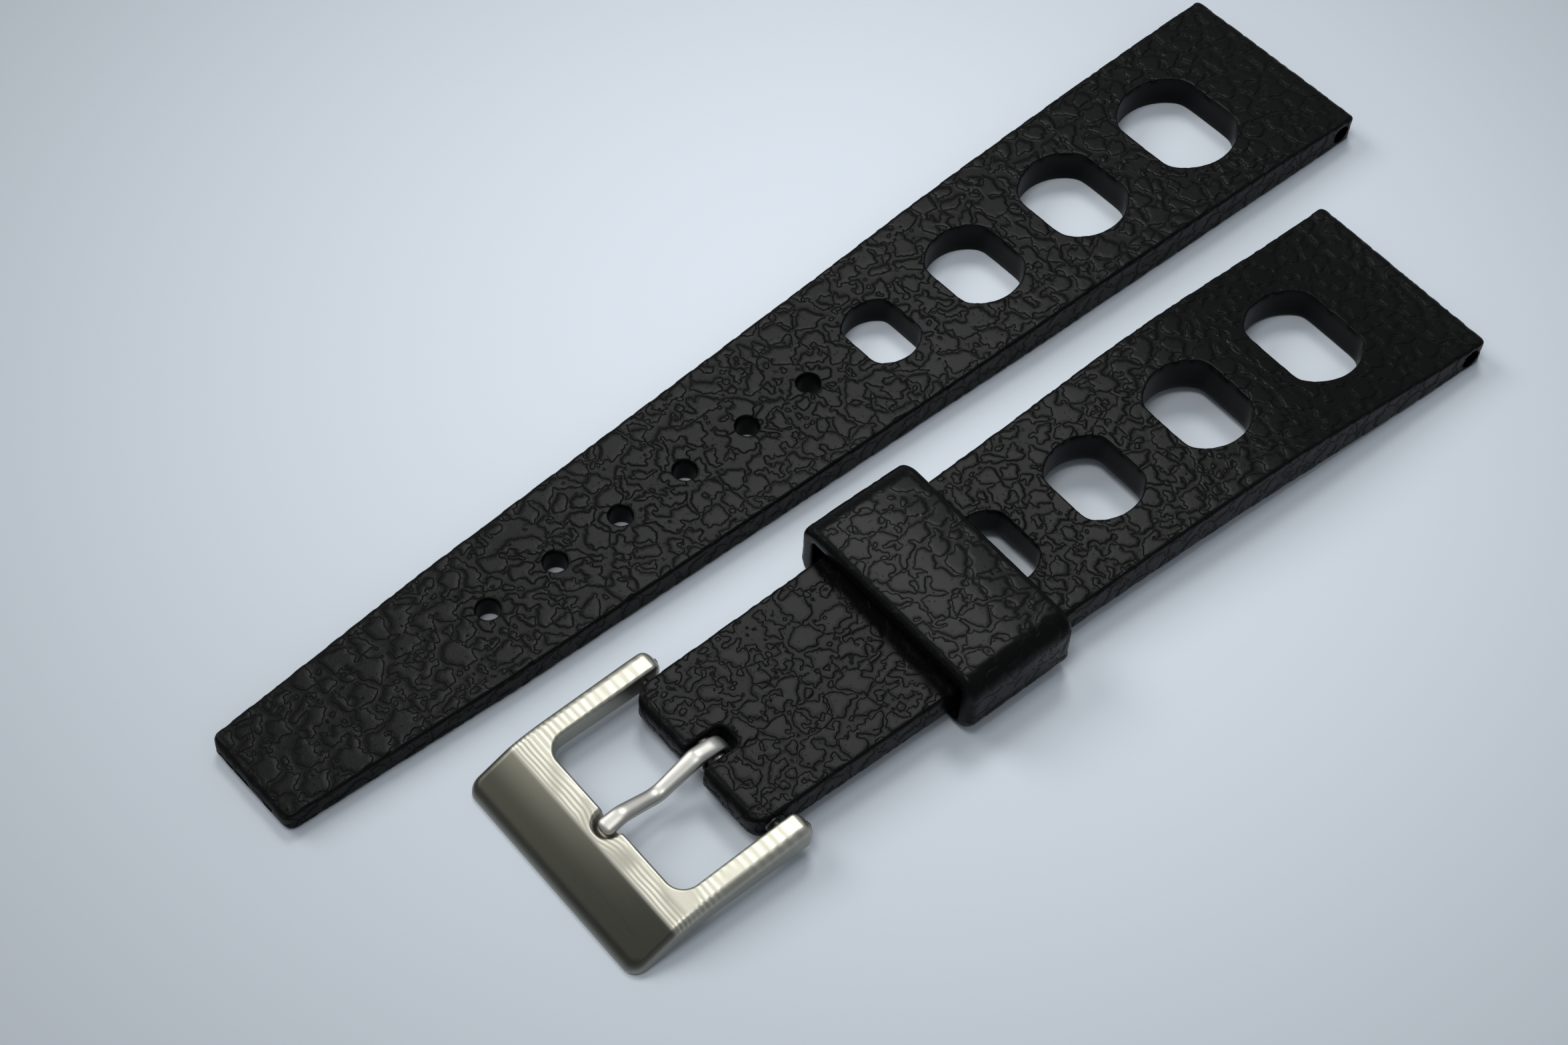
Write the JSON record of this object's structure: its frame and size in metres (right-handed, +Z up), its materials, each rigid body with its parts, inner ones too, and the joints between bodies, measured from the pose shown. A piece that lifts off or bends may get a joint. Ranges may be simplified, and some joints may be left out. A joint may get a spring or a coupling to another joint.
{
  "type": "watch strap",
  "caption": "Two-piece rubber dive strap with round vent holes, a sliding keeper loop and a pin buckle on a spring bar, both halves lying flat side by side.",
  "frame": {"origin": "centre of the underside of the whole, both halves lying flat", "axes": "+X along the buckle half towards its lug end, +Y across it towards the hole half, +Z up out of the table"},
  "size_m": [0.1192, 0.0462, 0.0068],
  "materials": {
    "strap_rubber": "matte black, moulded grain of raised islands",
    "keeper_rubber": "matte black, fainter grain",
    "buckle_steel": "satin",
    "tang_steel": "polished",
    "spring_bar_steel": "plain turned"
  },
  "bodies": {
    "short_half": {"short_strap": "strap_rubber", "spring_bar_tube": "spring_bar_steel", "spring_bar_spring": "spring_bar_steel"},
    "keeper": {"keeper": "keeper_rubber"},
    "buckle": {"buckle_frame": "buckle_steel"},
    "tang": {"buckle_tang": "tang_steel"},
    "plunger_left": {"spring_bar_plunger_left": "spring_bar_steel"},
    "plunger_right": {"spring_bar_plunger_right": "spring_bar_steel"},
    "long_half": {"long_strap": "strap_rubber"}
  },
  "joints": [
    {"name": "keeper_slide", "type": "slide", "parent": "short_half", "child": "keeper", "axis": [1, 0, 0], "range_m": [-0.015, 0.013]},
    {"name": "buckle_swing", "type": "hinge", "parent": "short_half", "child": "buckle", "pos_m": [-0.03015, -0.01254, 0.00245], "axis": [0, 1, 0], "range_deg": [-90, 30]},
    {"name": "tang_lift", "type": "hinge", "parent": "buckle", "child": "tang", "pos_m": [-0.03015, -0.01254, 0.00245], "axis": [0, 1, 0], "range_deg": [0, 65]},
    {"name": "plunger_left_press", "type": "slide", "parent": "short_half", "child": "plunger_left", "axis": [0, -1, 0], "range_m": [0, 0.0011], "stiffness_N_per_m": 300, "springref_m": -0.002, "deforming": ["spring_bar_spring"]},
    {"name": "plunger_right_press", "type": "slide", "parent": "short_half", "child": "plunger_right", "axis": [0, 1, 0], "range_m": [0, 0.0011], "stiffness_N_per_m": 300, "springref_m": -0.002, "deforming": ["spring_bar_spring"]},
    {"name": "long_half_lift", "type": "slide", "parent": "short_half", "child": "long_half", "axis": [0, 0, 1], "range_m": [0, 0.03]}
  ]
}
